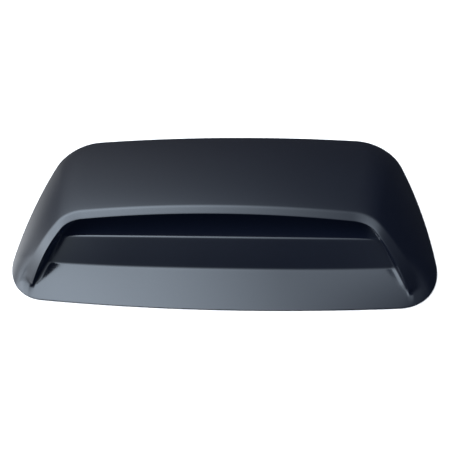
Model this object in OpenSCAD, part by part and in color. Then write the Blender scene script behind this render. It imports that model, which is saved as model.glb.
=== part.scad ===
// Bonnet scoop: one moulded shell of even wall with a closed mouth along its front.
// X runs across the car, Y from the mouth at -Y to the rear edge, and Z up from the bonnet.
// Lengths are in millimetres and angles in degrees.

/* [Base outline] */
// Width across the front corners, before they are rounded
front_w = 700; // [620:1:760]
// Width across the rear corners, before they are rounded
rear_w = 600; // [540:1:650]
// Depth from the middle of the front edge to the middle of the rear edge
depth = 344; // [320:1:380]
// Distance that the middle of the front edge stands ahead of its corners
front_bow = 14.5; // [8:0.5:22]
// Distance that the middle of the rear edge stands behind its corners
rear_bow = 14.5; // [6:0.5:22]
// Distance that each side edge bows outwards
side_bow = 16; // [8:0.5:22]
// Reach of the front corner's rounding along the front edge
front_round_across = 65; // [50:1:80]
// Reach of the front corner's rounding along the side
front_round_along = 69; // [55:1:85]
// Reach of the rear corner's rounding, along both edges
rear_round = 57; // [45:1:75]
// Height of the upright edge of the moulding all round the base
edge_h = 3; // [2:0.5:5]

/* [Lip] */
// Height of the lip's outer edge at the middle
lip_h = 85; // [74:1:96]
// Distance of the lip's outer edge behind the front edge, at the middle
lip_set_back = 141; // [130:1:152]
// Width across the lip's shoulders, before they are rounded
lip_w = 480; // [440:1:520]
// Distance that the shoulders stand ahead of the middle of the lip
lip_sweep = 8.5; // [2:0.5:16]
// Distance that the shoulders lie below the middle of the lip
lip_drop = 8; // [2:0.5:14]
// Reach of the shoulder's rounding along the top of the lip
shoulder_across = 27; // [20:1:45]
// Reach of the shoulder's rounding along the arm
shoulder_along = 24; // [20:1:45]
// Height that each arm bows above a straight line
arm_crown = 15; // [6:1:20]
// Width across the ends of the arms
tip_w = 642; // [620:1:656]
// Distance of the arms' ends behind the middle of the front edge
tip_set_back = 41; // [34:1:50]
// Height of the arms' ends
tip_h = 8; // [6:0.5:14]
// Width of the band round the mouth, along the car, at the middle
band_run = 12.5; // [8:0.5:16]
// Width of the band across each shoulder
band_shoulder = 13.5; // [8:0.5:16]
// Distance of the band's inner shoulders inside the outer ones, across the car
band_in = 4; // [2:0.5:7]
// Drop from the outer to the inner edge of the band
band_drop = 5; // [4:0.5:10]
// Distance of the inner edge's ends inside the ends of the arms
band_tip = 19; // [12:0.5:24]
// Distance of the inner edge's ends behind the middle of the front edge
band_set_back = 26.5; // [20:0.5:32]
// Height that the inner edge would have at its ends, before it is let down to the ramp
band_end_h = 9.5; // [8:0.5:16]

/* [Mouth] */
// Tilt of the mouth's side walls, which is the way the mouth is drawn from its mould
pull_tilt = 50; // [44:1:60]
// Height of the back of the ramp
ramp_h = 10; // [6:0.5:16]
// Distance of the back of the ramp behind the front edge, at the middle
ramp_run = 67; // [58:1:76]
// Distance that the back of the ramp stands ahead at the middle
ramp_bow = 9; // [4:0.5:16]
// Height of the ledge's front edge
ledge_h = 42; // [34:1:50]
// Distance of the ledge's front edge behind the front edge of the base
ledge_set_back = 105; // [95:1:110]
// Fall of the ledge from its front edge to the back of the mouth
ledge_tilt = 4; // [0:0.5:8]
// Radius of the hollow corner at the back of the ramp
ramp_fillet = 10; // [4:0.5:14]
// Radius of the ledge's front edge
ledge_round = 2; // [1.5:0.5:5]

/* [Shell] */
// Wall of the shell
wall = 3; // [2:0.25:4]
// Crown of the roof above a straight line from lip to rear edge
roof_crown = 15; // [8:1:22]
// Crown of each flank above a straight line from arm to side edge
flank_crown = 7; // [2:1:12]
// Share of the way from the middle to an arm's end where the crown is down to that of the flank
crown_fade = 0.9; // [0.7:0.05:1]
// Width of the bonding land inside the base
land_w = 16; // [12:1:22]
// Thickness of the bonding land
land_t = 3; // [2:0.5:4]

/* [Ribs] */
// Number of stiffening ribs under the roof
rib_count = 9; // [8:1:11]
// Distance between ribs
rib_pitch = 52; // [44:1:56]
// Thickness of a rib
rib_t = 2; // [1.5:0.25:3]
// Height of a rib below the roof
rib_h = 9; // [5:1:14]

/* [Smoothness] */
// Steps along half of the lip's top
top_steps = 12; // [8:1:16]
// Steps round a corner
corner_steps = 8; // [6:2:12]
// Steps along an arm
arm_steps = 12; // [8:2:16]
// Steps from the lip down to the base
skin_steps = 10; // [6:1:14]

/* [Hidden] */
clear = 1;
overlap = 2;
reach = depth + lip_h;
front_y = -depth / 2;
rear_y = depth / 2;
lip_y = front_y + lip_set_back;
tip_y = front_y + tip_set_back;
ledge_y = front_y + ledge_set_back;
rib_set_back = 3 * band_run;
rib_front_y = lip_y + rib_set_back;
mouth_ahead = 4 * wall;
ramp_ahead = 6 * land_w;
floor_steps = 24;
arc_steps = 6;
ease = 0.6;
slope_step = 0.02;
floor_ahead = 0.4;
crown_power = 3;
tip_power = 8;
tiny = 0.000001;

function lerp(a, b, t) = a + (b - a) * t;
function unit(v) = v / max(norm(v), tiny);
function bezier(a, b, c, d, t) =
    pow(1 - t, 3) * a + 3 * pow(1 - t, 2) * t * b + 3 * (1 - t) * t * t * c + t * t * t * d;
function mirrored(p) = [-p.x, p.y, p.z];

// A half outline is a bowed edge from the middle line to a corner, the rounded corner, and a bowed
// side to an end: [middle, corner, end, bow of the side, reach along the edge, reach along the side].
function edge_at(o, q) = [o[1].x * q, lerp(o[0].y, o[1].y, q * q), lerp(o[0].z, o[1].z, q * q)];
function edge_way(o, q) = unit([o[1].x, 2 * q * (o[1].y - o[0].y), 2 * q * (o[1].z - o[0].z)]);
function side_at(o, q) = lerp(o[1], o[2], q) + 4 * q * (1 - q) * o[3];
function side_way(o, q) = unit(o[2] - o[1] + 4 * (1 - 2 * q) * o[3]);
function edge_cut(o) = 1 - o[4] / o[1].x;
function side_cut(o) = o[5] / norm(o[2] - o[1]);
function corner_at(o, t) =
    let (a = edge_at(o, edge_cut(o)))
    let (d = side_at(o, side_cut(o)))
    let (b = a + ease * o[4] * edge_way(o, edge_cut(o)))
    let (c = d - ease * o[5] * side_way(o, side_cut(o)))
    bezier(a, b, c, d, t);

// Points of a half outline, from the middle line to its end, moved on by a part of a step.
function half_edge(o, n, on = 0) = [for (k = [0:n - 1]) edge_at(o, edge_cut(o) * (k + on) / n)];
function half_corner(o, n, on = 0) = [for (k = [0:n - 1]) corner_at(o, (k + on) / n)];
function half_side(o, n, on = 0) = [for (k = [0:n]) side_at(o, lerp(side_cut(o), 1, (k + on) / n))];
function half_outline(o, on = 0) = concat(
    half_edge(o, top_steps, on), half_corner(o, corner_steps, on), half_side(o, arm_steps, on));

// Outlines of the base, seen from the rear and from the front, which share the side edges.
function base_corner(w, y) = [w / 2, y, 0];
front_corner = base_corner(front_w, front_y + front_bow);
rear_corner = base_corner(rear_w, rear_y - rear_bow);
side_out = side_bow * unit([rear_corner.y - front_corner.y, front_corner.x - rear_corner.x, 0]);
rear_outline = [[0, rear_y, 0], rear_corner, front_corner, side_out, rear_round, rear_round];
front_outline =
    [[0, front_y, 0], front_corner, rear_corner, side_out, front_round_across, front_round_along];

// The side edge runs from the rear corner's rounding to the middle of the front corner's rounding.
front_half_steps = corner_steps / 2;
straight_steps = arm_steps - front_half_steps;
side_stop = 1 - side_cut(front_outline);
function base_side() = concat(
    [for (k = [0:straight_steps - 1])
        side_at(rear_outline, lerp(side_cut(rear_outline), side_stop, k / straight_steps))],
    [for (k = [0:front_half_steps]) corner_at(front_outline, 1 - k / corner_steps)]);
base_rear_half =
    concat(half_edge(rear_outline, top_steps), half_corner(rear_outline, corner_steps), base_side());
base_front_half = concat(
    [for (k = [front_half_steps + 1:corner_steps]) corner_at(front_outline, 1 - k / corner_steps)],
    [for (k = [1:top_steps]) edge_at(front_outline, edge_cut(front_outline) * (1 - k / top_steps))]);

// Outer and inner edges of the lip.
lip_shoulder = [lip_w / 2, lip_y - lip_sweep, lip_h - lip_drop];
lip_tip = [tip_w / 2, tip_y, tip_h];
lip_outline =
    [[0, lip_y, lip_h], lip_shoulder, lip_tip, [0, 0, arm_crown], shoulder_across, shoulder_along];
band_corner = lip_shoulder - [band_in, band_shoulder, band_drop];
band_end = [lip_tip.x - band_tip, front_y + band_set_back, band_end_h];
band_outline = [[0, lip_y - band_run, lip_h - band_drop], band_corner, band_end,
    [0, 0, arm_crown], shoulder_across - band_in, shoulder_along - band_in];

// Front and back edges of the ramp at a distance from the middle line, and the ramp between them.
function brim_y(x) = front_y + front_bow * pow(x / front_corner.x, 2);
function ramp_back_y(x) = front_y + ramp_run + ramp_bow * pow(x / band_end.x, 2);
function ramp_slope(x) = (ramp_h - edge_h) / (ramp_back_y(x) - brim_y(x));
function ramp_z(p) = edge_h + ramp_slope(p.x) * (p.y - brim_y(p.x));

// A point let down along the pull until it lies just above the ramp.
function let_down(p) =
    let (way = [0, cos(pull_tilt), -sin(pull_tilt)])
    p + way * (p.z - clear - ramp_z(p)) / (sin(pull_tilt) + ramp_slope(p.x) * cos(pull_tilt));

lip_half = half_outline(lip_outline);
last = len(lip_half) - 1;
band_line = half_outline(band_outline);
band_half = [for (k = [0:last]) k < last ? band_line[k] : let_down(band_line[k])];

// Full rows run from the left end round to the right end.
function full_row(half) =
    concat([for (k = [last:-1:1]) mirrored(half[k])], half);
lip_row = full_row(lip_half);
band_row = full_row(band_half);
rear_row = [for (p = full_row(base_rear_half)) [p.x, p.y, edge_h]];
columns = len(lip_row);

// Crown of the skin: full along the roof, less down the flanks.
function crown_at(k) =
    let (s = abs(k - last) / last)
    lerp(roof_crown, flank_crown, pow(min(1, s / crown_fade), crown_power)) * (1 - pow(s, tip_power));
function skin_at(k, t) =
    lerp(lip_row[k], rear_row[k], t) + [0, 0, 4 * t * (1 - t) * crown_at(k)];
function skin_row(j) = [for (k = [0:columns - 1]) skin_at(k, j / skin_steps)];

// Direction away from the shell at a point of the skin.
function skin_out(k, t) =
    let (along = skin_at(min(k + 1, columns - 1), t) - skin_at(max(k - 1, 0), t))
    let (down = skin_at(k, min(t + slope_step, 1)) - skin_at(k, max(t - slope_step, 0)))
    unit(cross(along, down));

// Direction away from the shell on the band, and the miter of two directions.
function band_out(k) =
    let (along = band_row[min(k + 1, columns - 1)] - band_row[max(k - 1, 0)])
    unit(cross(along, lip_row[k] - band_row[k]));
function mitre(a, b) = (a + b) / (1 + a * b);

// Rows of the envelope, set in by a depth: just past the band's inner edge, which the mouth then cuts,
// the lip, and the skin down to the base.
function envelope_rows(d) = concat(
    [[for (k = [0:columns - 1])
        band_row[k] + overlap * unit(band_row[k] - lip_row[k]) - d * band_out(k)]],
    [[for (k = [0:columns - 1]) lip_row[k] - d * mitre(band_out(k), skin_out(k, 0))]],
    [for (j = [1:skin_steps])
        let (t = j / skin_steps)
        [for (k = [0:columns - 1]) skin_at(k, t) - d * skin_out(k, t)]]);

// Front edge of the base from the right corner to the left, set in by a depth.
front_edge = concat(base_front_half,
    [for (k = [len(base_front_half) - 2:-1:0]) mirrored(base_front_half[k])]);
function front_inward(k) =
    let (n = len(front_edge))
    let (way = front_edge[min(k + 1, n - 1)] - front_edge[max(k - 1, 0)])
    unit([way.y, -way.x, 0]);
function front_set_in(d) = [for (k = [0:len(front_edge) - 1]) front_edge[k] + d * front_inward(k)];

// Closed body inside the outer faces of the moulding, set in by a depth.
module envelope(d) {
    rows = envelope_rows(d);
    front = front_set_in(d);
    row_n = len(rows);
    front_n = len(front);
    foot = d > 0 ? -d - land_t : 0;
    brim = [for (p = front) [p.x, p.y, edge_h - d + (abs(p.x) < band_end.x ? edge_h : 0)]];
    low = [for (p = concat(rows[row_n - 1], front)) [p.x, p.y, foot]];
    rear_0 = (row_n - 1) * columns;
    front_0 = row_n * columns;
    front_end = front_0 + front_n - 1;
    low_0 = front_end + 1;
    right_0 = columns - 1;
    middle = front_0 + (front_n - 1) / 2;
    ring_n = columns + front_n;
    skin = [for (j = [0:row_n - 2]) for (k = [0:columns - 2])
        let (a = j * columns + k)
        each [[a, a + columns, a + columns + 1], [a, a + columns + 1, a + 1]]];
    web = [for (k = [0:last - 1])
        let (r = right_0 - k)
        each [[k, k + 1, r], if (k < last - 1) [k + 1, r - 1, r]]];
    tips = [for (j = [0:row_n - 2])
        let (a = j * columns)
        each [[a + right_0, a + columns + right_0, front_0], [a + columns, a, front_end]]];
    apron = concat(
        [for (k = [front_0:middle - 1]) [right_0, k, k + 1]],
        [for (k = [middle:front_end - 1]) [k, k + 1, 0]],
        [[middle, 0, right_0]]);
    side = [for (k = [0:ring_n - 1])
        let (m = (k + 1) % ring_n)
        each [[rear_0 + m, rear_0 + k, low_0 + k], [rear_0 + m, low_0 + k, low_0 + m]]];
    under = [for (k = [ring_n - 1:-1:0]) low_0 + k];
    polyhedron(concat([for (r = rows) each r], brim, low), concat(skin, web, tips, apron, side, [under]));
}

// Outline of the mouth, seen along the pull.
function along_pull(p) = [p.x, p.y * sin(pull_tilt) + p.z * cos(pull_tilt)];
mouth_half = half_outline(band_outline, 0.5);
mouth_low = [mouth_half[last].x, front_y - mouth_ahead, 0];
mouth_points = concat([for (k = [last:-1:0]) mirrored(mouth_half[k])], mouth_half,
    [mouth_low, mirrored(mouth_low)]);
mouth_outline = [for (p = mouth_points) along_pull(p)];

// Solid behind and under the mouth's outline, grown outwards by a margin.
module mouth_prism(margin) {
    rotate([90 - pull_tilt, 0, 0])
        translate([0, 0, -reach])
            linear_extrude(2 * reach)
                offset(delta = margin)
                    polygon(mouth_outline);
}

// Profile of the mouth's floor at a distance from the middle line: ramp, wall and ledge.
function turn(a, b, c, r) =
    let (u = unit(a - b))
    let (v = unit(c - b))
    let (half = acos(u * v) / 2)
    let (cut = r / tan(half))
    let (middle = b + unit(u + v) * r / sin(half))
    let (from = b + u * cut - middle)
    let (to = b + v * cut - middle)
    [for (k = [0:arc_steps]) middle + r * unit(lerp(from, to, k / arc_steps))];
function floor_profile(x) =
    let (back = [ramp_back_y(x), ramp_h])
    let (way = unit(back - [brim_y(x), edge_h]))
    let (start = back - way * (ramp_run + ramp_ahead))
    let (edge = [ledge_y, ledge_h])
    let (finish = [rear_y - land_w, ledge_h - tan(ledge_tilt) * (rear_y - land_w - ledge_y)])
    concat([start], turn(start, back, edge, ramp_fillet), turn(back, edge, finish, ledge_round), [finish]);

// Solid under the mouth's floor, lowered by a depth.
module floor_body(d) {
    low = -reach / 2;
    span = front_w / 2 + land_w;
    rows = [for (j = [0:floor_steps])
        let (x = lerp(-span, span, j / floor_steps))
        let (line = floor_profile(x))
        concat([for (q = line) [x, q.x + d * floor_ahead, q.y - d]],
            [[x, line[len(line) - 1].x, low], [x, line[0].x, low]])];
    n = len(rows[0]);
    ends = [[for (k = [n - 1:-1:0]) k], [for (k = [0:n - 1]) floor_steps * n + k]];
    sides = [for (j = [0:floor_steps - 1]) for (k = [0:n - 1])
        let (m = (k + 1) % n)
        let (a = j * n)
        each [[a + k, a + m, a + n + m], [a + k, a + n + m, a + n + k]]];
    polyhedron([for (r = rows) each r], concat(ends, sides));
}

// What the mouth leaves open.
module mouth_void() {
    difference() {
        mouth_prism(0);
        floor_body(0);
    }
}

// The walls and the floor of the mouth, with the open space inside them.
module mouth_body() {
    difference() {
        mouth_prism(wall);
        floor_body(wall);
    }
}

// Outline of the base as a flat figure.
module base_figure() {
    polygon([for (p = concat(rear_row, front_edge)) [p.x, p.y]]);
}

// Bonding land: a flat rim round the inside of the base.
module bonding_land() {
    translate([0, 0, -clear])
        linear_extrude(land_t + clear)
            difference() {
                offset(delta = clear)
                    base_figure();
                offset(delta = -land_w)
                    base_figure();
            }
}

// One upright plate with round ends, from the mouth to the rear land.
module rib_plate() {
    hull() {
        translate([0, rib_front_y, -clear])
            cylinder(h = lip_h + clear, d = rib_t);
        translate([0, rear_y - land_w / 2, -clear])
            cylinder(h = lip_h + clear, d = rib_t);
    }
}

// Ribs that stiffen the roof from below.
module roof_ribs() {
    difference() {
        for (k = [0:rib_count - 1])
            translate([(k - (rib_count - 1) / 2) * rib_pitch, 0, 0])
                rib_plate();
        envelope(wall + rib_h);
    }
}

// The hollow under the shell, which opens at the bonnet.
module underside_hollow() {
    difference() {
        envelope(wall);
        mouth_body();
        bonding_land();
        roof_ribs();
    }
}

module scoop_shell() {
    color([0.08, 0.085, 0.1])
    difference() {
        envelope(0);
        underside_hollow();
        mouth_void();
    }
}

scoop_shell();
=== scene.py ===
"""Looks of a bonnet scoop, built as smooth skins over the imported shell.

The shape classes work in millimetres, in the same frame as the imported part: X runs across the car,
Y from the mouth at -Y to the rear edge, and Z up from the bonnet. Meshes are made in metres.
Columns of the surfaces are counted from 0 on the middle line over 1.5 in the middle of a shoulder
to 3 at the end of an arm.
"""

import logging
import math
from collections.abc import Callable
from dataclasses import dataclass, replace
from enum import Enum, auto
from typing import TypeVar

import bmesh
import bpy
from mathutils import Matrix, Vector
from mathutils.bvhtree import BVHTree


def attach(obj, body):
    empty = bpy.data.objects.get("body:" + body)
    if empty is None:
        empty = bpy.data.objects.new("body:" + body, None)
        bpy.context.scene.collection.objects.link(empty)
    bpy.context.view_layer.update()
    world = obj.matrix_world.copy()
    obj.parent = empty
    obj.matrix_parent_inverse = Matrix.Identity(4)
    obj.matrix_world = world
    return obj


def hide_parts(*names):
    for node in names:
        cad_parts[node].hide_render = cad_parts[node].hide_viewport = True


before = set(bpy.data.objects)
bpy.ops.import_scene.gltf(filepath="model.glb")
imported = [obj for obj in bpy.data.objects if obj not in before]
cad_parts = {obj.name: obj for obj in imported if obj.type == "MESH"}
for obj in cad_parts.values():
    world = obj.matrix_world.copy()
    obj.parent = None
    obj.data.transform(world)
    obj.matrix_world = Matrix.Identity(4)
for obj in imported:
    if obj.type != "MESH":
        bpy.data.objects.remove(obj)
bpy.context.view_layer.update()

MM = 0.001
BODY = "root"
SHELL_NODE = "scoop_shell"
SHOULDER, ARM_END = 1.5, 3.0
HALVINGS = 36
TINY = 1e-9

Blend = TypeVar("Blend", float, Vector)
log = logging.getLogger("scoop")


def mix(a: Blend, b: Blend, t: float) -> Blend:
    """Blend two numbers or vectors.

    Args:
        a: Value at t = 0.
        b: Value at t = 1.
        t: Share of b.

    Returns:
        The blended value.
    """
    return a + (b - a) * t


def spread(first: float, last: float, steps: int) -> list[float]:
    """Divide a stretch evenly.

    Args:
        first: First value.
        last: Last value.
        steps: Number of steps.

    Returns:
        The values, both ends included.
    """
    return [mix(first, last, k / steps) for k in range(steps + 1)]


def smooth(t: float) -> float:
    """Ease a share in at 0 and out at 1."""
    return t * t * (3 - 2 * t)


def crossing(low: float, high: float, short: Callable[[float], bool]) -> float:
    """Find where a test along a stretch turns false.

    Args:
        low: Start of the stretch.
        high: End of the stretch.
        short: Test that is true before the place that is sought.

    Returns:
        The value at which the test turns false.
    """
    for _ in range(HALVINGS):
        half = (low + high) / 2
        low, high = (half, high) if short(half) else (low, half)
    return low


def sweep(start: Vector, leave: Vector, end: Vector, arrive: Vector, steps: int) -> list[Vector]:
    """Draw a curve between two points that leaves and arrives along given directions.

    Args:
        start: First point.
        leave: Direction and strength at the first point.
        end: Last point.
        arrive: Direction and strength at the last point.
        steps: Number of steps.

    Returns:
        The points of the curve, both ends included.
    """
    return [
        mix(start, end, smooth(t)) + t * (1 - t) ** 2 * leave - t * t * (1 - t) * arrive
        for t in spread(0, 1, steps)
    ]


def arch(start: Vector, knee: Vector, end: Vector, steps: int) -> list[Vector]:
    """Round a knee with a quadratic curve.

    Args:
        start: Point where the rounding leaves the first face.
        knee: Point where the two faces would meet.
        end: Point where the rounding joins the second face.
        steps: Number of steps.

    Returns:
        The points of the curve, both ends included.
    """
    return [mix(mix(start, knee, t), mix(knee, end, t), t) for t in spread(0, 1, steps)]


@dataclass(frozen=True)
class HalfOutline:
    """Half of an outline: a bowed edge from the middle line, a rounded corner, and a bowed side.

    Attributes:
        middle: Point on the middle line.
        corner: Corner before it is rounded.
        end: End of the side.
        bow: Offset of the middle of the side from a straight line.
        across: Reach of the rounding along the edge.
        along: Reach of the rounding along the side.
        ease: Share of a reach that the rounding's handles take.
    """

    middle: Vector
    corner: Vector
    end: Vector
    bow: Vector
    across: float
    along: float
    ease: float = 0.6

    @property
    def edge_cut(self) -> float:
        """Share of the edge that lies before the rounding."""
        return 1 - self.across / self.corner.x

    @property
    def side_cut(self) -> float:
        """Share of the side that the rounding takes."""
        return self.along / (self.end - self.corner).length

    def edge(self, q: float) -> Vector:
        """Point of the edge at a share of its half width."""
        return Vector((self.corner.x * q, *(mix(self.middle[k], self.corner[k], q * q) for k in (1, 2))))

    def edge_way(self, q: float) -> Vector:
        """Direction of the edge at a share of its half width."""
        way = (2 * q * (self.corner[k] - self.middle[k]) for k in (1, 2))
        return Vector((self.corner.x, *way)).normalized()

    def side(self, q: float) -> Vector:
        """Point of the side at a share of its length."""
        return mix(self.corner, self.end, q) + 4 * q * (1 - q) * self.bow

    def side_way(self, q: float) -> Vector:
        """Direction of the side at a share of its length."""
        return (self.end - self.corner + 4 * (1 - 2 * q) * self.bow).normalized()

    def rounding(self, t: float) -> Vector:
        """Point of the rounded corner, from the edge at 0 to the side at 1.

        Args:
            t: Share of the rounding.

        Returns:
            The point.
        """
        a, d = self.edge(self.edge_cut), self.side(self.side_cut)
        b = a + self.ease * self.across * self.edge_way(self.edge_cut)
        c = d - self.ease * self.along * self.side_way(self.side_cut)
        s = 1 - t
        return s**3 * a + 3 * s * s * t * b + 3 * s * t * t * c + t**3 * d

    def at(self, u: float) -> Vector:
        """Point at a column: edge from 0 to 1, rounding from 1 to 2, side from 2 to 3.

        Args:
            u: The column.

        Returns:
            The point.
        """
        if u <= 1:
            return self.edge(self.edge_cut * u)
        if u <= 2:
            return self.rounding(u - 1)
        return self.side(mix(self.side_cut, 1, u - 2))


@dataclass(frozen=True)
class Arc:
    """Arc in the YZ plane that rounds the corner b between a and c.

    Attributes:
        a: Point before the corner, as (y, z).
        b: The corner.
        c: Point after the corner.
        radius: Radius of the arc.
    """

    a: Vector
    b: Vector
    c: Vector
    radius: float

    def _ways(self) -> tuple[Vector, Vector, float]:
        """Directions from the corner to both points, and half of the angle between them."""
        u, v = (self.a - self.b).normalized(), (self.c - self.b).normalized()
        return u, v, math.acos(u.dot(v)) / 2

    def point(self, t: float) -> Vector:
        """Point of the arc, from the side of a at 0 to the side of c at 1.

        Args:
            t: Share of the arc.

        Returns:
            The point, as (y, z).
        """
        u, v, half = self._ways()
        cut = self.radius / math.tan(half)
        centre = self.b + (u + v).normalized() * self.radius / math.sin(half)
        way = mix(self.b + u * cut - centre, self.b + v * cut - centre, t)
        return centre + self.radius * way.normalized()


@dataclass(frozen=True)
class Floor:
    """Floor of the mouth: a ramp, a wall with a hollow foot, and a ledge with a rounded edge.

    Attributes:
        STRAIGHT: Pieces of the profile that are straight.
        sizes: Sizes of the whole scoop.
        x: Distance from the middle line.
    """

    STRAIGHT = (0, 2, 4)

    sizes: "ScoopSizes"
    x: float

    def knots(self) -> list[Callable[[float], Vector]]:
        """Pieces of the profile in order, each a function of its own share.

        Returns:
            Ramp, hollow foot, wall, rounded edge and ledge.
        """
        s = self.sizes
        brim = Vector((s.brim_y(self.x), s.edge_h))
        back = Vector((s.ramp_back_y(self.x), s.ramp_back_h(self.x)))
        edge = Vector((s.ledge_y, s.ledge_h))
        run = s.rear_y - s.land_w - s.ledge_y
        finish = edge + run * Vector((1, -math.tan(math.radians(s.ledge_tilt))))
        foot, crest = Arc(brim, back, edge, s.ramp_fillet), Arc(back, edge, finish, s.ledge_round)
        return [
            lambda t: mix(brim, foot.point(0), t),
            foot.point,
            lambda t: mix(foot.point(1), crest.point(0), t),
            crest.point,
            lambda t: mix(crest.point(1), finish, t),
        ]

    def point(self, s: float) -> Vector:
        """Point of the floor at a place of the profile.

        Args:
            s: The place, whose whole part counts the pieces before it.

        Returns:
            The point.
        """
        piece = min(max(int(s), 0), self.STRAIGHT[-1])
        flat = self.knots()[piece](s - piece)
        return Vector((self.x, flat.x, flat.y))

    def place(self, y: float) -> float:
        """Place of the profile at a distance along the car.

        Args:
            y: The distance.

        Returns:
            The place, as point() takes it.
        """
        knots = self.knots()
        piece = next((k for k, knot in enumerate(knots) if y <= knot(1).x), self.STRAIGHT[-1])
        knot = knots[piece]
        if piece in self.STRAIGHT:
            return piece + (y - knot(0).x) / (knot(1).x - knot(0).x)
        return piece + crossing(0, 1, lambda t: knot(t).x < y)


@dataclass(frozen=True)
class ScoopSizes:
    """Sizes of the scoop in millimetres and degrees, with the outlines that they set.

    At the end of an arm the lip rises and flattens by tip_lift over tip_ease, and the mouth's wall falls
    to the share tip_wall of its height over tip_round. Beyond ramp_flat_w the ramp's back edge rises,
    by ramp_rise at the arms.
    """

    front_w: float = 700
    rear_w: float = 600
    depth: float = 344
    front_bow: float = 14.5
    rear_bow: float = 14.5
    side_bow: float = 16
    front_round_across: float = 65
    front_round_along: float = 69
    rear_round: float = 57
    shoulder_round: float = 24
    shoulder_hold: float = 3
    edge_h: float = 3
    lip_h: float = 85
    lip_set_back: float = 141
    lip_w: float = 480
    lip_sweep: float = 8.5
    lip_drop: float = 8
    shoulder_across: float = 27
    shoulder_along: float = 24
    arm_crown: float = 15
    tip_w: float = 642
    tip_set_back: float = 41
    tip_h: float = 8
    band_run: float = 12.5
    band_shoulder: float = 13.5
    band_in: float = 4
    band_drop: float = 5
    band_tip: float = 19
    band_set_back: float = 26.5
    band_end_h: float = 9.5
    pull_tilt: float = 50
    ramp_h: float = 10
    ramp_run: float = 67
    ramp_bow: float = 4
    ledge_h: float = 42
    ledge_set_back: float = 107.5
    ledge_tilt: float = 4
    ramp_fillet: float = 10
    ledge_round: float = 5.5
    wall: float = 3
    roof_crown: float = 15
    flank_crown: float = 7
    land_w: float = 16
    rib_count: int = 9
    rib_pitch: float = 52
    rib_t: float = 2
    rib_h: float = 9
    tip_round: float = 13
    tip_wall: float = 0.5
    tip_ease: float = 26
    tip_lift: float = 4
    ramp_rise: float = 8
    ramp_flat_w: float = 220

    @property
    def front_y(self) -> float:
        """Middle of the front edge."""
        return -self.depth / 2

    @property
    def rear_y(self) -> float:
        """Middle of the rear edge."""
        return self.depth / 2

    @property
    def ledge_y(self) -> float:
        """Front edge of the ledge."""
        return self.front_y + self.ledge_set_back

    @property
    def lip_y(self) -> float:
        """Outer edge of the lip at the middle."""
        return self.front_y + self.lip_set_back

    @property
    def pull(self) -> Vector:
        """Direction down the mouth's side walls."""
        tilt = math.radians(self.pull_tilt)
        return Vector((0, math.cos(tilt), -math.sin(tilt)))

    def brim_y(self, x: float) -> float:
        """Front edge of the ramp at a distance from the middle line."""
        return self.front_y + self.front_bow * (2 * x / self.front_w) ** 2

    def ramp_back_y(self, x: float) -> float:
        """Back edge of the ramp at a distance from the middle line."""
        return self.front_y + self.ramp_run + self.ramp_bow * (x / (self.tip_w / 2 - self.band_tip)) ** 2

    def ramp_back_h(self, x: float) -> float:
        """Height of the ramp's back edge, which rises a little towards the arms.

        Args:
            x: Distance from the middle line.

        Returns:
            The height.
        """
        flat = self.ramp_flat_w / 2
        aside = max(0, abs(x) - flat) / (self.tip_w / 2 - self.band_tip - flat)
        return self.ramp_h + self.ramp_rise * aside * aside

    def outlines(self) -> tuple[HalfOutline, HalfOutline, HalfOutline, HalfOutline]:
        """Half outlines of the base seen from the rear and the front, of the lip, and of the band.

        Returns:
            The four outlines, in that order.
        """
        front = Vector((self.front_w / 2, self.front_y + self.front_bow, 0))
        rear = Vector((self.rear_w / 2, self.rear_y - self.rear_bow, 0))
        out = self.side_bow * Vector((rear.y - front.y, front.x - rear.x, 0)).normalized()
        rise = Vector((0, 0, self.edge_h))
        front, rear = front + rise, rear + rise
        rear_line = HalfOutline(
            Vector((0, self.rear_y, self.edge_h)), rear, front, out, self.rear_round, self.rear_round
        )
        front_line = HalfOutline(
            Vector((0, self.front_y, self.edge_h)), front, rear, out,
            self.front_round_across, self.front_round_along,
        )
        shoulder = Vector((self.lip_w / 2, self.lip_y - self.lip_sweep, self.lip_h - self.lip_drop))
        tip = Vector((self.tip_w / 2, self.front_y + self.tip_set_back, self.tip_h))
        crown = Vector((0, 0, self.arm_crown))
        lip_line = HalfOutline(
            Vector((0, self.lip_y, self.lip_h)), shoulder, tip, crown,
            self.shoulder_across, self.shoulder_along,
        )
        inner = shoulder - Vector((self.band_in, self.band_shoulder, self.band_drop))
        end = Vector((tip.x - self.band_tip, self.front_y + self.band_set_back, self.band_end_h))
        band_line = HalfOutline(
            Vector((0, self.lip_y - self.band_run, self.lip_h - self.band_drop)), inner, end, crown,
            self.shoulder_across - self.band_in, self.shoulder_along - self.band_in,
        )
        return rear_line, front_line, lip_line, band_line


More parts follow.
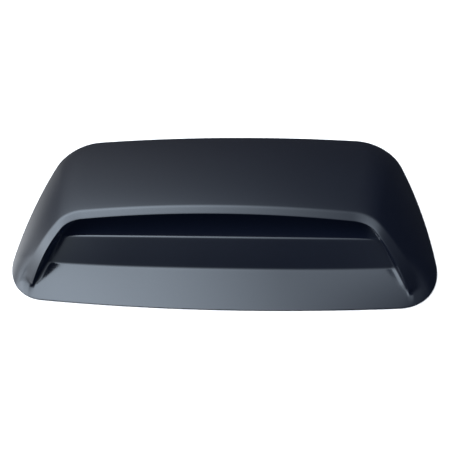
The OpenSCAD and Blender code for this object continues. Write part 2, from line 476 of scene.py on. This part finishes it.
class ScoopForm:
    """Surfaces of the right half of the scoop, by column and by row.

    Attributes:
        STRAIGHT_END: Column at which the base's side meets its front corner.
        TOP_SHARE: Share of the way round that the rear edge takes, and the side again.
        CORNER_SHARE: Share of the way round that the rear corner takes.
        FADE: Share of the way round at which the roof's crown has become the flank's.
        FADE_POWER: Power that keeps this change to the end of its way.
        END_POWER: Power with which the crown goes flat at the end of an arm.
        LONGEST_PULL: Length within which the mouth's wall meets the floor.
    """

    STRAIGHT_END = 2 + 2 / 3
    TOP_SHARE, CORNER_SHARE = 12 / 32, 8 / 32
    FADE, FADE_POWER, END_POWER = 0.9, 3, 8
    LONGEST_PULL = 160.0

    def __init__(self, sizes: ScoopSizes) -> None:
        """Keep the sizes and their outlines.

        Args:
            sizes: Sizes of the scoop.
        """
        self.sizes = sizes
        self.rear, self.front, self.lip, self.band = sizes.outlines()
        self.tight = replace(self.rear, across=sizes.shoulder_round, along=sizes.shoulder_round)

    def base(self, u: float, rear: HalfOutline | None = None) -> Vector:
        """Point of the base's edge: rear edge, rear corner, side, and half of the front corner.

        Args:
            u: The column.
            rear: Outline to use in place of the base's own.

        Returns:
            The point.
        """
        rear = rear or self.rear
        if u <= 2:
            return rear.at(u)
        if u <= self.STRAIGHT_END:
            share = (u - 2) / (self.STRAIGHT_END - 2)
            return rear.side(mix(rear.side_cut, 1 - self.front.side_cut, share))
        return self.front.rounding(1 - (u - self.STRAIGHT_END) / (ARM_END - self.STRAIGHT_END) / 2)

    def crown(self, u: float) -> float:
        """Height that the skin bows above a straight line from the lip to the base.

        Args:
            u: The column.

        Returns:
            The height at the middle of the line.
        """
        if u <= 1:
            share = self.TOP_SHARE * u
        elif u <= 2:
            share = self.TOP_SHARE + self.CORNER_SHARE * (u - 1)
        else:
            share = self.TOP_SHARE + self.CORNER_SHARE + self.TOP_SHARE * (u - 2)
        bow = mix(self.sizes.roof_crown, self.sizes.flank_crown, min(1, share / self.FADE) ** self.FADE_POWER)
        return bow * (1 - share**self.END_POWER)

    def skin(self, u: float, t: float) -> Vector:
        """Point of the skin, from the lip at t = 0 to the base at t = 1.

        Args:
            u: The column.
            t: Share of the way down.

        Returns:
            The point.
        """
        base = mix(self.base(u, self.tight), self.base(u), t**self.sizes.shoulder_hold)
        point = mix(self.eased(self.lip, u), base, t)
        point.z += 4 * t * (1 - t) * self.crown(u)
        return point

    def nearness(self, line: HalfOutline, u: float, reach: float) -> float:
        """How near a column is to the end of an arm: 1 at the end, and 0 at a reach from it."""
        return max(0, 1 - (line.end - line.at(u)).length / reach)

    def eased(self, line: HalfOutline, u: float) -> Vector:
        """Point of an edge of the lip, which flattens towards the end of an arm."""
        near = self.nearness(line, u, self.sizes.tip_ease)
        return line.at(u) + Vector((0, 0, self.sizes.tip_lift * near * near))

    def brow(self, u: float) -> Vector:
        """Point of the band's inner edge, which rounds down to the ramp at the end of an arm.

        Args:
            u: The column.

        Returns:
            The point.
        """
        edge, foot = self.band.at(u), self.foot(u)
        near = self.nearness(self.band, u, self.sizes.tip_round)
        return mix(foot, edge, mix(self.sizes.tip_wall, 1, (1 + math.cos(math.pi * near)) / 2))

    def foot(self, u: float) -> Vector:
        """Point where the mouth's wall would meet the floor without a fillet.

        Args:
            u: The column.

        Returns:
            The point.
        """
        edge, pull = self.band.at(u), self.sizes.pull
        floor = Floor(self.sizes, edge.x)

        def above(length: float) -> bool:
            """Whether the wall is still over the floor at a length down the pull."""
            point = edge + length * pull
            return point.z > floor.point(floor.place(point.y)).z

        return edge + crossing(0, self.LONGEST_PULL, above) * pull


@dataclass
class ShellSkin:
    """Smooth outer skin of the scoop with the mouth, thickened to the wall of the moulding.

    Attributes:
        form: Surfaces of the scoop.
        lip_round: Reach of the rounding of the lip's outer edge.
        band_round: Reach of the rounding of the band's inner edge.
        foot_round: Reach of the fillet between the mouth's side walls and the ramp.
        recess_round: Reach of the fillet between the mouth's walls and the ledge.
        edge_round: Rounding of the edge round the base.
        edge_clear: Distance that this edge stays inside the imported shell's.
        skin_steps: Number of steps from the base up to the lip.
        round_steps: Number of steps over a rounding.
        band_steps: Number of steps across the band.
        wall_steps: Number of steps down the mouth's wall.
        half_top_steps: Number of steps from the shoulder to the middle line.
        floor_steps: Number of steps along each piece of the floor.
        cap_steps: Number of steps across the cap at the end of an arm.
        foot_share: Largest share of a wall's height that its fillet takes.
        brow_share: Largest share of a wall's height that the band's rounding takes.
        fade_height: Height under which a wall gives way to a soft valley.
        valley_reach: Reach of the valley on both sides.
        tip_soft: Reach of the lip's rounding at the end of an arm.
        tip_step: Columns that the cap looks back to find the lip's direction.
        tip_pull: Strength with which the cap carries this direction on.
        edge_hold: Power with which the ledge's rows keep to the mouth's walls.
        trial_steps: Number of steps in which a column is looked for.
        weld: Distance under which neighbouring grids are joined.
    """

    form: ScoopForm
    lip_round: float = 3.0
    band_round: float = 1.2
    foot_round: float = 8.0
    recess_round: float = 1.5
    edge_round: float = 0.5
    edge_clear: float = 0.1
    skin_steps: int = 30
    round_steps: int = 6
    band_steps: int = 4
    wall_steps: int = 5
    half_top_steps: int = 56
    floor_steps: tuple[int, ...] = (14, 8, 10, 6, 10)
    cap_steps: int = 12
    foot_share: float = 0.55
    brow_share: float = 0.35
    fade_height: float = 8.0
    valley_reach: float = 6.0
    tip_soft: float = 8.0
    tip_step: float = 0.02
    tip_pull: float = 0.6
    edge_hold: int = 6
    trial_steps: int = 300
    weld: float = 0.02

    def height(self, u: float) -> float:
        """Height of the mouth's wall at a column, along the pull."""
        return (self.form.brow(u) - self.form.foot(u)).length

    def fading(self, u: float) -> float:
        """Share by which a low wall gives way to a soft valley."""
        return smooth(max(0, 1 - self.height(u) / self.fade_height))

    def fillet(self, u: float) -> float:
        """Reach of the fillet at the foot of the wall, which is large beside the ramp only.

        Args:
            u: The column.

        Returns:
            The reach.
        """
        sizes, foot = self.form.sizes, self.form.foot(u)
        ahead = (sizes.ledge_y - foot.y) / (sizes.ledge_y - sizes.ramp_back_y(foot.x))
        full = mix(self.recess_round, self.foot_round, min(max(ahead, 0), 1))
        return mix(min(full, self.foot_share * self.height(u)), self.valley_reach, self.fading(u))

    def inset(self, u: float) -> tuple[Vector, Vector]:
        """Foot of the wall at a column, and the floor point where its fillet ends.

        Args:
            u: The column.

        Returns:
            Both points.
        """
        step = self.tip_step / 2
        foot = self.form.foot(u)
        if u < step:
            way = Vector((1, 0, 0))
        else:
            way = self.form.foot(min(u + step, ARM_END)) - self.form.foot(u - step)
        floor = Floor(self.form.sizes, foot.x)
        place = floor.place(foot.y)
        rise = (floor.point(place + step) - floor.point(place - step)).normalized()
        slope = Vector((1, 0, 0)).cross(rise)
        inward = slope.cross(way.normalized()).normalized()
        if inward.x > 0 or (abs(inward.x) < step and inward.y > 0):
            inward = -inward
        aim = foot + inward * self.fillet(u)
        target = Floor(self.form.sizes, max(aim.x, 0.0) if u else 0.0)
        return foot, target.point(target.place(aim.y))

    def column(self, u: float) -> list[Vector]:
        """Points from the base over the skin, the lip and the mouth's wall to the floor.

        Args:
            u: The column.

        Returns:
            The points, in the same number for each column.
        """
        form, pull = self.form, self.form.sizes.pull
        lip, edge = form.eased(form.lip, u), form.brow(u)
        foot, floor = self.inset(u)
        brow = min(self.band_round, self.brow_share * self.height(u))
        near = form.nearness(form.lip, u, form.sizes.tip_ease)
        outer = mix(self.lip_round, self.tip_soft, smooth(near))
        inner = mix(brow, self.valley_reach, self.fading(u))
        across = (edge - lip).normalized()
        first = outer / (form.base(u) - lip).length
        rows = [form.skin(u, t) for t in spread(1, first, self.skin_steps)]
        rows += arch(rows[-1], lip, lip + across * outer, self.round_steps)[1:]
        rows += [mix(rows[-1], edge - across * inner, t) for t in spread(0, 1, self.band_steps)][1:]
        steep = arch(rows[-1], edge, edge + pull * brow, self.round_steps)
        lift = foot - pull * min(self.fillet(u), self.foot_share * self.height(u))
        steep += [mix(steep[-1], lift, t) for t in spread(0, 1, self.wall_steps)][1:]
        steep += arch(lift, foot, floor, self.round_steps)[1:]
        soft = arch(rows[-1], foot, floor, len(steep) - 1)
        return rows + [mix(a, b, self.fading(u)) for a, b in zip(steep, soft)][1:]

    def side_columns(self) -> list[float]:
        """Columns from the arm's end to the middle of the shoulder that meet the floor's rows.

        Returns:
            The columns.
        """
        trial = spread(ARM_END, SHOULDER, self.trial_steps)
        places = []
        for u in trial:
            point = self.inset(u)[1]
            places.append(Floor(self.form.sizes, point.x).place(point.y))
        wanted = []
        for piece, steps in enumerate(self.floor_steps):
            first = places[0] if piece == 0 else piece
            last = places[-1] if piece == 4 else piece + 1
            wanted += spread(first, last, steps)[0 if piece == 0 else 1:]
        found = []
        for place in wanted:
            k = next((i for i, p in enumerate(places) if p >= place - TINY), len(places) - 1)
            if k == 0:
                found.append(ARM_END)
                continue
            share = (place - places[k - 1]) / max(places[k] - places[k - 1], TINY)
            found.append(mix(trial[k - 1], trial[k], min(max(share, 0), 1)))
        found[-1] = SHOULDER
        return found

    def top_columns(self) -> list[float]:
        """Columns from the middle of the shoulder to the middle line, evenly apart.

        Returns:
            The columns.
        """
        trial = spread(SHOULDER, 0, self.trial_steps)
        run = lengths([self.form.band.at(u) for u in trial])
        found = []
        for length in spread(0, run[-1], self.half_top_steps):
            k = next((i for i, r in enumerate(run) if r >= length - TINY), len(run) - 1)
            share = 0 if k == 0 else (length - run[k - 1]) / (run[k] - run[k - 1])
            found.append(mix(trial[max(k - 1, 0)], trial[k], share))
        found[-1] = 0.0
        return found

    def build(self) -> bmesh.types.BMesh:
        """Make the outer skin as one welded sheet.

        Returns:
            The sheet, in metres.
        """
        side, top = self.side_columns(), self.top_columns()
        half = side + top[1:]
        right = [self.column(u) for u in half]
        rows = right + [[Vector((-p.x, p.y, p.z)) for p in c] for c in reversed(right[:-1])]
        mesh = bmesh.new()
        add_grid(mesh, rows)
        add_grid(mesh, self.floor_rows(right, len(side)))
        for flip in (1, -1):
            add_grid(mesh, [[Vector((flip * p.x, p.y, p.z)) for p in c] for c in self.cap_rows(right[0])])
        bmesh.ops.remove_doubles(mesh, verts=mesh.verts, dist=self.weld * MM)
        bmesh.ops.dissolve_degenerate(mesh, edges=mesh.edges, dist=self.weld / 2 * MM)
        bmesh.ops.recalc_face_normals(mesh, faces=mesh.faces)
        self.add_edge(mesh)
        bmesh.ops.recalc_face_normals(mesh, faces=mesh.faces)
        return mesh

    def floor_rows(self, right: list[list[Vector]], side_n: int) -> list[list[Vector]]:
        """Points of the mouth's floor inside the foot of its walls, row by row from the front.

        Args:
            right: Columns of the right half, from the arm's end to the middle line.
            side_n: Number of columns up to the middle of the shoulder.

        Returns:
            The rows.
        """
        sizes = self.form.sizes
        contour = [c[-1] for c in right]
        shares = [p.x / contour[side_n - 1].x for p in contour[side_n - 1:]]
        shares = shares + [-f for f in reversed(shares[:-1])]
        tops = contour[side_n - 1:]
        tops = tops + [Vector((-p.x, p.y, p.z)) for p in reversed(tops[:-1])]
        places = [Floor(sizes, p.x).place(p.y) for p in contour[:side_n]]
        crest = sum(self.floor_steps[:4])
        front_x = contour[0].x
        rows = []
        for j in range(side_n):
            row = []
            for i, f in enumerate(shares):
                x, place = contour[j].x * f, places[j]
                if j > crest:
                    g = (j - crest) / (side_n - 1 - crest)
                    start = Vector((contour[crest].x * f, places[crest]))
                    end = Vector((tops[i].x, Floor(sizes, tops[i].x).place(tops[i].y)))
                    edge = Vector((contour[j].x, places[j])) - mix(
                        Vector((contour[crest].x, places[crest])),
                        Vector((contour[side_n - 1].x, places[-1])),
                        g,
                    )
                    pin = abs(f) ** self.edge_hold
                    x, place = mix(start, end, g) + Vector((math.copysign(edge.x, f) * pin, edge.y * pin))
                row.append(Floor(sizes, x).point(place))
            rows.append(row)
        brim = [self.front_point(front_x * f) for f in shares]
        ahead = [[mix(a, b, w) for a, b in zip(rows[0], brim)] for w in spread(1, 0, self.cap_steps)]
        return ahead[:-1] + rows

    def front_point(self, x: float) -> Vector:
        """Point of the base's front edge at a distance from the middle line.

        Args:
            x: The distance.

        Returns:
            The point.
        """
        front = self.form.front
        straight = front.edge(front.edge_cut).x
        if abs(x) <= straight:
            return Vector((x, self.form.sizes.brim_y(x), self.form.sizes.edge_h))
        point = front.rounding(self.front_share(abs(x)))
        return Vector((math.copysign(point.x, x), point.y, point.z))

    def front_share(self, x: float) -> float:
        """Share of the front corner's rounding at a distance from the middle line."""
        return crossing(0, 0.5, lambda t: self.form.front.rounding(t).x < x)

    def cap_rows(self, tip: list[Vector]) -> list[list[Vector]]:
        """Points of the cap that joins the end of an arm to the base's front corner.

        Args:
            tip: Column at the end of the arm.

        Returns:
            One row for each point of the column.
        """
        before = self.column(ARM_END - self.tip_step)
        run = lengths(tip)
        lip = self.skin_steps
        first, last = 0.5, self.front_share(tip[-1].x)
        rows = []
        for k, point in enumerate(tip[:-1]):
            goal = self.form.front.rounding(mix(first, last, run[k] / run[-1]))
            inner = max(0, run[k] - run[lip]) / (run[-1] - run[lip])
            way = (tip[min(k, lip)] - before[min(k, lip)]).normalized()
            across = goal - point
            leave = mix(way * across.length * self.tip_pull, across, inner)
            rows.append(sweep(point, leave, goal, across, self.cap_steps))
        goal = self.form.front.rounding(last)
        rows.append([mix(tip[-1], goal, w) for w in spread(0, 1, self.cap_steps)])
        return rows

    def add_edge(self, mesh: bmesh.types.BMesh) -> None:
        """Turn the rim over to the bonnet and in along the bonding land.

        Args:
            mesh: The sheet, in metres.
        """
        sizes = self.form.sizes
        radius, upright = self.edge_round, sizes.edge_h - 2 * self.edge_round
        rim = [e for e in mesh.edges if e.is_boundary]
        ways = {v: self.inward(v) for v in {v for e in rim for v in e.verts}}
        for v, way in ways.items():
            v.co += way * (radius + self.edge_clear) * MM
        turns = [math.radians(a) for a in spread(0, 90, 3)]
        steps = [(radius * (math.sin(b) - math.sin(a)), radius * (math.cos(a) - math.cos(b)))
                 for a, b in zip(turns, turns[1:])]
        path = [(-out, drop) for out, drop in steps] + [(0, upright)]
        path += [(drop, out) for out, drop in steps]
        path += [(sizes.land_w - radius, 0)]
        for aside, drop in path:
            made = bmesh.ops.extrude_edge_only(mesh, edges=rim)["geom"]
            rim = [g for g in made if isinstance(g, bmesh.types.BMEdge) and g.is_boundary]
            moved = {}
            for v in {v for e in rim for v in e.verts}:
                source = next(e.other_vert(v) for e in v.link_edges if e.other_vert(v) in ways)
                moved[v] = ways[source]
                v.co += (ways[source] * aside - Vector((0, 0, drop))) * MM
            ways = moved

    @staticmethod
    def inward(vert: bmesh.types.BMVert) -> Vector:
        """Direction from a vertex of the rim into the base.

        Args:
            vert: The vertex.

        Returns:
            The direction, level and of length one.
        """
        near = [e.other_vert(vert).co for e in vert.link_edges if e.is_boundary]
        along = (near[0] - near[-1]).normalized()
        way = Vector((-along.y, along.x, 0)).normalized()
        return -way if way.dot(vert.co) > 0 else way

    def make(self) -> bpy.types.Object:
        """Build the piece and dress it.

        Returns:
            The finished piece.
        """
        piece = finished("scoop_skin", self.build(), SatinPlastic().material())
        thick = piece.modifiers.new("wall", "SOLIDIFY")
        thick.thickness = self.form.sizes.wall * MM
        thick.offset = -1
        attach(piece, BODY)
        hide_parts(SHELL_NODE)
        return piece


def lengths(points: list[Vector]) -> list[float]:
    """Measure how far along a line each of its points lies.

    Args:
        points: The points in order.

    Returns:
        The distance of each point from the first, along the line.
    """
    run = [0.0]
    for a, b in zip(points, points[1:]):
        run.append(run[-1] + (b - a).length)
    return run


def add_grid(mesh: bmesh.types.BMesh, rows: list[list[Vector]]) -> None:
    """Add a grid whose vertices lie on given points.

    Args:
        mesh: Mesh that takes the grid.
        rows: Points in millimetres, one list for each step across the grid.
    """
    n, m = len(rows), len(rows[0])
    made = bmesh.ops.create_grid(mesh, x_segments=m - 1, y_segments=n - 1, size=1)["verts"]
    for v in made:
        i = round((v.co.y + 1) / 2 * (n - 1))
        j = round((v.co.x + 1) / 2 * (m - 1))
        v.co = rows[i][j] * MM


def finished(name: str, mesh: bmesh.types.BMesh, material: bpy.types.Material) -> bpy.types.Object:
    """Turn a built mesh into a smooth shaded piece.

    Args:
        name: Name of the piece.
        mesh: The built mesh, which is freed.
        material: Its finish.

    Returns:
        The new object, linked into the scene.
    """
    data = bpy.data.meshes.new(name)
    mesh.to_mesh(data)
    mesh.free()
    data.materials.append(material)
    data.shade_smooth()
    piece = bpy.data.objects.new(name, data)
    bpy.context.scene.collection.objects.link(piece)
    return piece


@dataclass
class RoofRibs:
    """Stiffening ribs on the underside of the roof.

    Attributes:
        form: Surfaces of the scoop.
        steps: Number of steps along a rib.
        sink: Depth of a rib's top inside the wall.
        lead: Distance of the ribs behind the lip, in widths of the band.
        start: Height from which the skin is looked for.
        top_clear: Least height of a rib's top over the bonnet.
        low_clear: Least height of a rib's lower edge over the bonnet.
    """

    form: ScoopForm
    steps: int = 40
    sink: float = 1.0
    lead: float = 3.0
    start: float = 200.0
    top_clear: float = 1.0
    low_clear: float = 0.5

    def make(self, skin: bpy.types.Object) -> bpy.types.Object:
        """Build the ribs under the skin and dress them.

        Args:
            skin: The piece whose underside carries the ribs.

        Returns:
            The finished piece.
        """
        sizes = self.form.sizes
        source = bmesh.new()
        source.from_mesh(skin.data)
        tree = BVHTree.FromBMesh(source)
        source.free()
        mesh = bmesh.new()
        first, last = sizes.lip_y + self.lead * sizes.band_run, sizes.rear_y - sizes.land_w / 2
        for k in range(sizes.rib_count):
            x = (k - (sizes.rib_count - 1) / 2) * sizes.rib_pitch
            top, low = [], []
            for y in spread(first, last, self.steps):
                hit, normal, _, _ = tree.ray_cast(Vector((x, y, self.start)) * MM, Vector((0, 0, -1)))
                z, slope = hit.z / MM, abs(normal.z)
                above = max(z - (sizes.wall - self.sink) / slope, self.top_clear)
                below = max(z - (sizes.wall + sizes.rib_h) / slope, self.low_clear)
                top.append(Vector((x - sizes.rib_t / 2, y, above)))
                low.append(Vector((x - sizes.rib_t / 2, y, below)))
            before = set(mesh.faces)
            add_grid(mesh, [top, low])
            faces = [f for f in mesh.faces if f not in before]
            made = bmesh.ops.extrude_face_region(mesh, geom=faces)["geom"]
            verts = [g for g in made if isinstance(g, bmesh.types.BMVert)]
            bmesh.ops.translate(mesh, verts=verts, vec=Vector((sizes.rib_t, 0, 0)) * MM)
        bmesh.ops.recalc_face_normals(mesh, faces=mesh.faces)
        piece = finished("roof_ribs", mesh, SatinPlastic().material())
        for face in piece.data.polygons:
            face.use_smooth = False
        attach(piece, BODY)
        return piece


class MathStep(Enum):
    """Steps of maths that a shader value takes part in."""

    ADD = auto()
    SUBTRACT = auto()
    MULTIPLY = auto()
    EXPONENT = auto()


class Value:
    """Shader socket that takes part in Python expressions."""

    def __init__(self, graph: "Graph", socket: bpy.types.NodeSocket) -> None:
        """Wrap a socket of a graph."""
        self.graph, self.socket = graph, socket

    def _math(self, kind: MathStep, *terms: "Value | float") -> "Value":
        """Add a Math node that takes the terms in order."""
        return self.graph.make("ShaderNodeMath", {"operation": kind.name}, dict(enumerate(terms)))

    def __add__(self, other: "Value | float") -> "Value":
        """Value plus other."""
        return self._math(MathStep.ADD, self, other)

    def __radd__(self, other: "Value | float") -> "Value":
        """Other plus value."""
        return self._math(MathStep.ADD, other, self)

    def __sub__(self, other: "Value | float") -> "Value":
        """Value minus other."""
        return self._math(MathStep.SUBTRACT, self, other)

    def __rsub__(self, other: "Value | float") -> "Value":
        """Other minus value."""
        return self._math(MathStep.SUBTRACT, other, self)

    def __mul__(self, other: "Value | float") -> "Value":
        """Value times other."""
        return self._math(MathStep.MULTIPLY, self, other)

    def __rmul__(self, other: "Value | float") -> "Value":
        """Other times value."""
        return self._math(MathStep.MULTIPLY, other, self)

    def exp(self) -> "Value":
        """Natural exponential of the value."""
        return self._math(MathStep.EXPONENT, self)

    def dot(self, way: tuple) -> "Value":
        """Dot product with a constant vector."""
        return self.graph.make("ShaderNodeVectorMath", {"operation": "DOT_PRODUCT"}, {0: self, 1: way}, out=1)


class Graph:
    """Node tree of one material or world."""

    def __init__(self, owner: bpy.types.Material | bpy.types.World) -> None:
        """Clear the owner's node tree and keep it.

        Args:
            owner: Material or world that holds the tree.
        """
        owner.use_nodes = True
        self.tree = owner.node_tree
        self.tree.nodes.clear()

    def node(self, kind: str, settings: dict | None = None, inputs: dict | None = None) -> bpy.types.Node:
        """Make a node.

        Args:
            kind: Type of the node.
            settings: Attributes to set on it.
            inputs: Values or links for its sockets, by name or number.

        Returns:
            The node.
        """
        node = self.tree.nodes.new(kind)
        for name, value in (settings or {}).items():
            setattr(node, name, value)
        for key, value in (inputs or {}).items():
            if isinstance(value, Value):
                self.tree.links.new(value.socket, node.inputs[key])
            else:
                node.inputs[key].default_value = value
        return node

    def make(
        self, kind: str, settings: dict | None = None, inputs: dict | None = None, out: int | str = 0
    ) -> Value:
        """Make a node and return one of its outputs as a value."""
        return Value(self, self.node(kind, settings, inputs).outputs[out])

    def blend(self, factor: Value | float, a: tuple, b: tuple) -> Value:
        """Mix two colours by a factor."""
        settings = {"data_type": "RGBA", "clamp_factor": True}
        return self.make("ShaderNodeMix", settings, {0: factor, 6: a, 7: b}, out=2)


@dataclass(frozen=True)
class SatinPlastic:
    """Black moulded plastic with a satin sheen, a fine moulded grain and a faint painted glow that lifts its
    blacks.

    Attributes:
        dark: Darker of the two tones that cloud and grain move between.
        light: Lighter of the two tones.
        sheen: Colour of the sheen seen straight on.
        roughness: Middle of the roughness.
        roughness_spread: Change of the roughness over the cloud.
        grain_spread: Change of the roughness over the grain.
        cloud_share: Share of the cloud in the tone, beside the grain's.
        painted_glow: Colour of a very faint glow painted into the plastic as emission, a painted light that
            lifts the shaded blacks.
        painted_glow_level: Strength of this painted glow.
    """

    dark: tuple = (0.0010, 0.0014, 0.0036, 1)
    light: tuple = (0.0020, 0.0028, 0.0062, 1)
    sheen: tuple = (0.80, 0.90, 1.0, 1)
    roughness: float = 0.17
    roughness_spread: float = 0.04
    grain_spread: float = 0.04
    cloud_share: float = 0.6
    cloud_per_m: float = 9.0
    cloud_detail: float = 3.0
    grain_per_m: float = 1400.0
    grain_detail: float = 2.0
    grain_depth: float = 0.00002
    grain_strength: float = 0.25
    ior: float = 1.5
    # Painted glow: faint emission that stands in for light in the shaded blacks; the plastic is no lamp.
    painted_glow: tuple = (0.25, 0.42, 1.0, 1)
    painted_glow_level: float = 0.0052
    name: str = "satin_black_plastic"

    def material(self) -> bpy.types.Material:
        """Make the material, or find it if it is there.

        Returns:
            The material.
        """
        if self.name in bpy.data.materials:
            return bpy.data.materials[self.name]
        made = bpy.data.materials.new(self.name)
        graph = Graph(made)
        place = graph.make("ShaderNodeTexCoord", out="Object")
        cloud, grain = (
            graph.make("ShaderNodeTexNoise", None, {"Vector": place, "Scale": scale, "Detail": detail})
            for scale, detail in (
                (self.cloud_per_m, self.cloud_detail), (self.grain_per_m, self.grain_detail)
            )
        )
        bump = graph.make(
            "ShaderNodeBump", None,
            {"Strength": self.grain_strength, "Distance": self.grain_depth, "Height": grain},
        )
        tone = graph.blend(
            cloud * self.cloud_share + grain * (1 - self.cloud_share), self.dark, self.light
        )
        gloss = self.roughness + (cloud - 0.5) * self.roughness_spread + (grain - 0.5) * self.grain_spread
        shader = graph.make(
            "ShaderNodeBsdfPrincipled",
            None,
            {
                "Base Color": tone, "Roughness": gloss, "Normal": bump,
                "IOR": self.ior, "Specular Tint": self.sheen,
                # Emission is a painted glow that lifts the shaded blacks.
                "Emission Color": self.painted_glow, "Emission Strength": self.painted_glow_level,
            },
        )
        graph.node("ShaderNodeOutputMaterial", None, {"Surface": shader})
        return made


@dataclass(frozen=True)
class PaleFloor:
    """Pale studio floor, in metres."""

    tone: tuple = (0.86, 0.87, 0.88, 1)
    size: float = 8.0
    drop: float = 0.0005
    cloud_per_m: float = 2.0
    roughness: float = 0.75
    roughness_spread: float = 0.1

    def make(self) -> bpy.types.Object:
        """Build the floor, which glossy rays don't see.

        Returns:
            The floor.
        """
        mesh = bmesh.new()
        bmesh.ops.create_grid(mesh, x_segments=1, y_segments=1, size=self.size / 2)
        material = bpy.data.materials.new("pale_floor")
        graph = Graph(material)
        place = graph.make("ShaderNodeTexCoord", out="Object")
        cloud = graph.make("ShaderNodeTexNoise", None, {"Vector": place, "Scale": self.cloud_per_m})
        gloss = self.roughness + cloud * self.roughness_spread
        shader = graph.make("ShaderNodeBsdfPrincipled", None, {"Base Color": self.tone, "Roughness": gloss})
        graph.node("ShaderNodeOutputMaterial", None, {"Surface": shader})
        floor = finished("studio_floor", mesh, material)
        floor.location.z = -self.drop
        floor.visible_glossy = False
        return floor


@dataclass(frozen=True)
class PhotoCamera:
    """Camera at the photograph's angle, in degrees and metres."""

    elevation: float = 60.0
    azimuth: float = 10.75
    roll: float = -8.80
    lens: float = 40.0
    sensor: float = 36.0
    place: tuple = (0.0897, -0.4409, 0.7461)

    def make(self) -> bpy.types.Object:
        """Create the camera and make it the scene's own.

        Returns:
            The camera.
        """
        lift, turn, roll = (math.radians(a) for a in (self.elevation, self.azimuth, self.roll))
        back = Vector((math.sin(turn) * math.cos(lift), -math.cos(turn) * math.cos(lift), math.sin(lift)))
        right = Vector((math.cos(turn), math.sin(turn), 0))
        up = back.cross(right)
        across = right * math.cos(roll) + up * math.sin(roll)
        above = up * math.cos(roll) - right * math.sin(roll)
        data = bpy.data.cameras.new("photo_camera")
        data.sensor_width = self.sensor
        data.lens = self.lens
        camera = bpy.data.objects.new("photo_camera", data)
        turned = Matrix((across, above, back)).transposed().to_4x4()
        camera.matrix_world = Matrix.Translation(self.place) @ turned
        bpy.context.scene.collection.objects.link(camera)
        bpy.context.scene.camera = camera
        return camera


@dataclass(frozen=True)
class Glow:
    """Soft light far away, brightest along one direction.

    Attributes:
        way: Direction of its centre, of length one.
        tightness: How fast it fades away from its centre.
        peak: Brightness at its centre.
    """

    way: tuple
    tightness: float
    peak: float

    def shine(self, look: Value) -> Value:
        """Brightness along a direction."""
        return self.peak * ((look.dot(self.way) - 1) * self.tightness).exp()


@dataclass(frozen=True)
class Studio:
    """Pale surroundings with soft light from overhead and from the left."""

    backdrop: tuple = (0.93, 0.94, 0.95, 1)
    tint: tuple = (0.93, 0.96, 1.0, 1)
    dusk: float = 0.03
    glows: tuple[Glow, ...] = (
        Glow((-0.377, 0.041, 0.925), 9.54, 7.6),
        Glow((-0.845, -0.201, 0.496), 13.4, 6.4),
        Glow((-0.895, -0.023, -0.446), 11.8, 3.2),
        Glow((-0.492, 0.608, 0.623), 5.4, 1.05),
        Glow((0.544, -0.425, 0.724), 9.9, 0.40),
    )

    def make(self) -> None:
        """Create the world and the floor."""
        world = bpy.data.worlds.new("studio")
        bpy.context.scene.world = world
        graph = Graph(world)
        look = graph.make("ShaderNodeTexCoord", out="Generated")
        level = sum((glow.shine(look) for glow in self.glows), self.dusk)
        light = graph.make("ShaderNodeBackground", None, {"Color": self.tint, "Strength": level})
        seen = graph.make("ShaderNodeBackground", None, {"Color": self.backdrop, "Strength": 1.0})
        camera_ray = graph.make("ShaderNodeLightPath", out="Is Camera Ray")
        both = graph.make("ShaderNodeMixShader", None, {0: camera_ray, 1: light, 2: seen})
        graph.node("ShaderNodeOutputWorld", None, {"Surface": both})
        bpy.context.scene.view_settings.view_transform = "Standard"
        PaleFloor().make()


def main() -> None:
    """Build the pieces in order, and report them."""
    logging.basicConfig(level=logging.INFO, format="%(name)s: %(message)s")
    PhotoCamera().make()
    form = ScoopForm(ScoopSizes())
    skin = ShellSkin(form).make()
    ribs = RoofRibs(form).make(skin)
    Studio().make()
    for piece in (skin, ribs):
        log.info("%s: %d faces", piece.name, len(piece.data.polygons))


if __name__ == "__main__":
    main()
